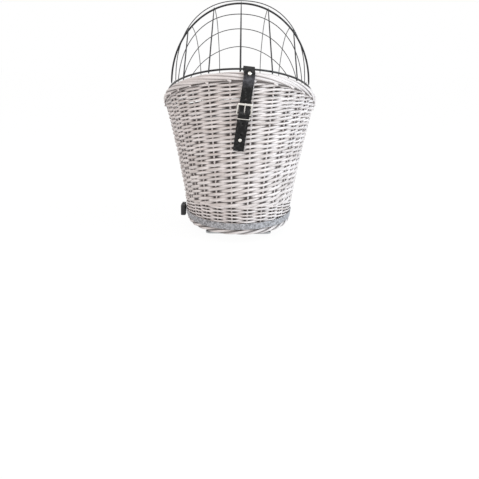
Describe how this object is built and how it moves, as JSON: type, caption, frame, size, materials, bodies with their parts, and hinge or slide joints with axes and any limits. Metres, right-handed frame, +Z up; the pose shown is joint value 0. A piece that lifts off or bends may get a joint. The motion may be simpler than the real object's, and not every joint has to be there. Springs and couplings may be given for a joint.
{
  "type": "bicycle pet basket",
  "caption": "Oval whitewashed wicker pet basket for a rear bicycle rack, with a hinged black wire dome lid and a buckled leather strap.",
  "frame": {"origin": "under the middle of the basket, at the underside of the clamp bars", "axes": "+Z up, +Y towards the front of the bicycle, where the lid is hinged, +X to the right seen from behind"},
  "size_m": [0.3486, 0.559, 0.5073],
  "materials": {
    "willow": "matt",
    "black_wire": "satin",
    "black_leather": "satin",
    "nickel": "satin",
    "grey_webbing": "matt",
    "black_plastic": "matt",
    "zinc_steel": "satin",
    "cushion_plush": "matt"
  },
  "bodies": {
    "basket": {"wicker_wall": "willow", "woven_floor": "willow", "top_border": "willow", "foot_border": "willow", "foot_belt": "grey_webbing", "belt_buckle_housing": "black_plastic", "belt_buckle_tongue": "black_plastic", "cushion": "cushion_plush", "buckle_strap": "black_leather", "hinge_loop_left": "black_leather", "hinge_loop_right": "black_leather", "strap_lower_rivet": "nickel", "strap_keeper": "nickel", "hinge_rivet_left": "nickel", "hinge_rivet_right": "nickel", "clamp_bar_rear": "zinc_steel", "floor_plate_rear": "zinc_steel", "clamp_bolt_rear_left": "zinc_steel", "clamp_washer_rear_left": "zinc_steel", "clamp_nut_rear_left": "zinc_steel", "clamp_bolt_rear_right": "zinc_steel", "clamp_washer_rear_right": "zinc_steel", "clamp_nut_rear_right": "zinc_steel", "clamp_bar_front": "zinc_steel", "floor_plate_front": "zinc_steel", "clamp_bolt_front_left": "zinc_steel", "clamp_washer_front_left": "zinc_steel", "clamp_nut_front_left": "zinc_steel", "clamp_bolt_front_right": "zinc_steel", "clamp_washer_front_right": "zinc_steel", "clamp_nut_front_right": "zinc_steel"},
    "lid": {"lid_ring": "black_wire", "lid_rear_arch": "black_wire", "lid_hoop_rear": "black_wire", "lid_hoop_middle_rear": "black_wire", "lid_hoop_middle_front": "black_wire", "lid_hoop_front": "black_wire", "lid_side_rail_left": "black_wire", "lid_side_rail_right": "black_wire", "lid_lengthwise_far_left": "black_wire", "lid_lengthwise_left": "black_wire", "lid_lengthwise_centre": "black_wire", "lid_lengthwise_right": "black_wire", "lid_lengthwise_far_right": "black_wire", "lid_panel_wire_far_left": "black_wire", "lid_panel_wire_left": "black_wire", "lid_panel_wire_centre": "black_wire", "lid_panel_wire_right": "black_wire", "lid_panel_wire_far_right": "black_wire"},
    "strap": {"closing_strap": "black_leather", "strap_top_rivet": "nickel"},
    "frame": {"buckle_frame": "nickel"},
    "prong": {"buckle_prong": "nickel"}
  },
  "joints": [
    {"name": "lid_hinge", "type": "hinge", "parent": "basket", "child": "lid", "pos_m": [0, 0.26183, 0.23949], "axis": [-1, 0, 0], "range_deg": [0, 105]},
    {"name": "strap_swing", "type": "hinge", "parent": "lid", "child": "strap", "pos_m": [0.016, -0.25959, 0.36949], "axis": [-1, 0, 0], "range_deg": [-90, 0], "deforming": ["closing_strap"]},
    {"name": "buckle_tilt", "type": "hinge", "parent": "basket", "child": "frame", "pos_m": [0.0071, -0.25628, 0.2819], "axis": [0.988, 0.1213, -0.0958], "range_deg": [0, 35]},
    {"name": "prong_swing", "type": "hinge", "parent": "frame", "child": "prong", "pos_m": [0.0071, -0.25628, 0.2819], "axis": [0.988, 0.1213, -0.0958], "range_deg": [0, 65]}
  ],
  "couplings": [
    {"joint": "strap_swing", "follows": "lid_hinge", "ratio": -0.85}
  ]
}
